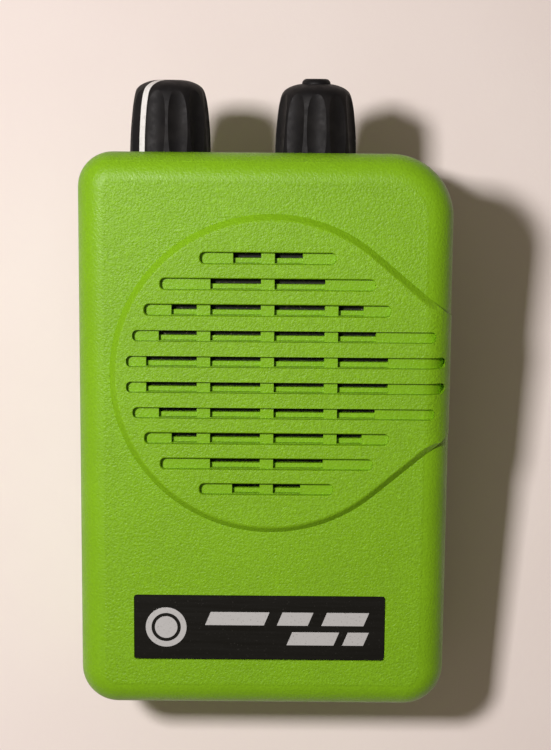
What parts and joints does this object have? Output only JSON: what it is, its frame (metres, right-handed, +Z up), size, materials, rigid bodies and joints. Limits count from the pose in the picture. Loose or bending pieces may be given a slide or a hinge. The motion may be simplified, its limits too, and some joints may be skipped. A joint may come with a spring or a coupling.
{
  "type": "belt-worn voice pager",
  "caption": "Belt-worn voice pager with a slotted raised speaker field, two fluted top knobs, a push button in one knob, a sliding battery door and a sprung belt clip.",
  "frame": {"origin": "centre of the case's bottom face, on the plane where the front and rear shells meet", "axes": "+Z up towards the knobs, +X to the right seen from the front, +Y to the back towards the belt clip"},
  "size_m": [0.0592, 0.0377, 0.1014],
  "materials": {
    "green_shell": "fine spark-eroded grain",
    "black_knob": "matte moulded",
    "pointer_white": "satin",
    "plate_black": "satin",
    "print_white": "printed",
    "steel": "brushed",
    "brass": "plated",
    "board_green": "solder mask",
    "chip_black": "matte",
    "seal_black": "soft",
    "cloth_black": "woven",
    "cone_dark": "pressed film",
    "magnet_grey": "sintered",
    "copper": "enamelled",
    "lens_clear": "clear red",
    "body_grey": "moulded",
    "sleeve_blue": "shrink film",
    "label_grey": "plain film",
    "clip_black": "matte moulded",
    "ferrite": "sintered"
  },
  "bodies": {
    "case": {"front_housing": "green_shell", "rear_housing": "green_shell", "case_seal": "seal_black", "case_screws": "steel", "name_plate": "plate_black", "plate_print": "print_white", "grille_cloth": "cloth_black", "speaker_gasket": "seal_black", "speaker_frame": "steel", "speaker_surround": "seal_black", "speaker_yoke": "steel", "speaker_magnet": "magnet_grey", "speaker_clamp": "steel", "speaker_screws": "steel", "speaker_leads": "copper", "main_board": "board_green", "main_board_chips": "chip_black", "board_screws": "steel", "receiver_board": "board_green", "receiver_shields": "steel", "receiver_chips": "chip_black", "board_connectors": "chip_black", "antenna_core": "ferrite", "antenna_winding": "copper", "antenna_saddles": "body_grey", "selector_switch": "body_grey", "volume_control": "body_grey", "control_covers": "body_grey", "control_gaskets": "seal_black", "control_nuts": "steel", "monitor_switch": "steel", "indicator_lens": "lens_clear", "indicator_lamp": "pointer_white", "vibrator_motor": "steel", "vibrator_cradle": "seal_black", "battery_cells": "steel", "battery_sleeve": "sleeve_blue", "battery_plates": "brass", "battery_springs": "brass", "clip_bracket": "clip_black", "clip_pin": "steel", "clip_spring": "steel", "clip_screws": "steel", "earphone_jack": "chip_black", "charging_studs": "brass"},
    "selector": {"selector_knob": "black_knob", "selector_pointer": "pointer_white", "selector_shaft": "steel"},
    "volume": {"volume_knob": "black_knob", "volume_shaft": "steel"},
    "monitor": {"monitor_button": "black_knob"},
    "cone": {"speaker_cone": "cone_dark", "voice_coil": "copper"},
    "weight": {"vibrator_weight": "steel"},
    "door": {"battery_door": "green_shell", "rear_label": "label_grey"},
    "clip": {"belt_clip": "clip_black"}
  },
  "joints": [
    {"name": "selector_turn", "type": "hinge", "parent": "case", "child": "selector", "pos_m": [-0.0156, -0.0058, 0.0888], "axis": [0, 0, 1], "range_deg": [0, 180]},
    {"name": "volume_turn", "type": "hinge", "parent": "case", "child": "volume", "pos_m": [0.0079, -0.0058, 0.0888], "axis": [0, 0, 1], "range_deg": [-135, 135]},
    {"name": "monitor_press", "type": "slide", "parent": "volume", "child": "monitor", "axis": [0, 0, -1], "range_m": [0, 0.0006], "stiffness_N_per_m": 400},
    {"name": "clip_open", "type": "hinge", "parent": "case", "child": "clip", "pos_m": [0, 0.0132, 0.07], "axis": [1, 0, 0], "range_deg": [0, 18], "stiffness_Nm_per_rad": 0.6},
    {"name": "battery_door_slide", "type": "slide", "parent": "case", "child": "door", "axis": [0, 0, -1], "range_m": [0, 0.054]},
    {"name": "speaker_cone_drive", "type": "slide", "parent": "case", "child": "cone", "axis": [0, -1, 0], "range_m": [-0.0003, 0.0003], "stiffness_N_per_m": 500},
    {"name": "vibrator_spin", "type": "hinge", "parent": "case", "child": "weight", "pos_m": [0.0232, -0.0006, 0.03], "axis": [0, 0, 1], "continuous": true}
  ]
}
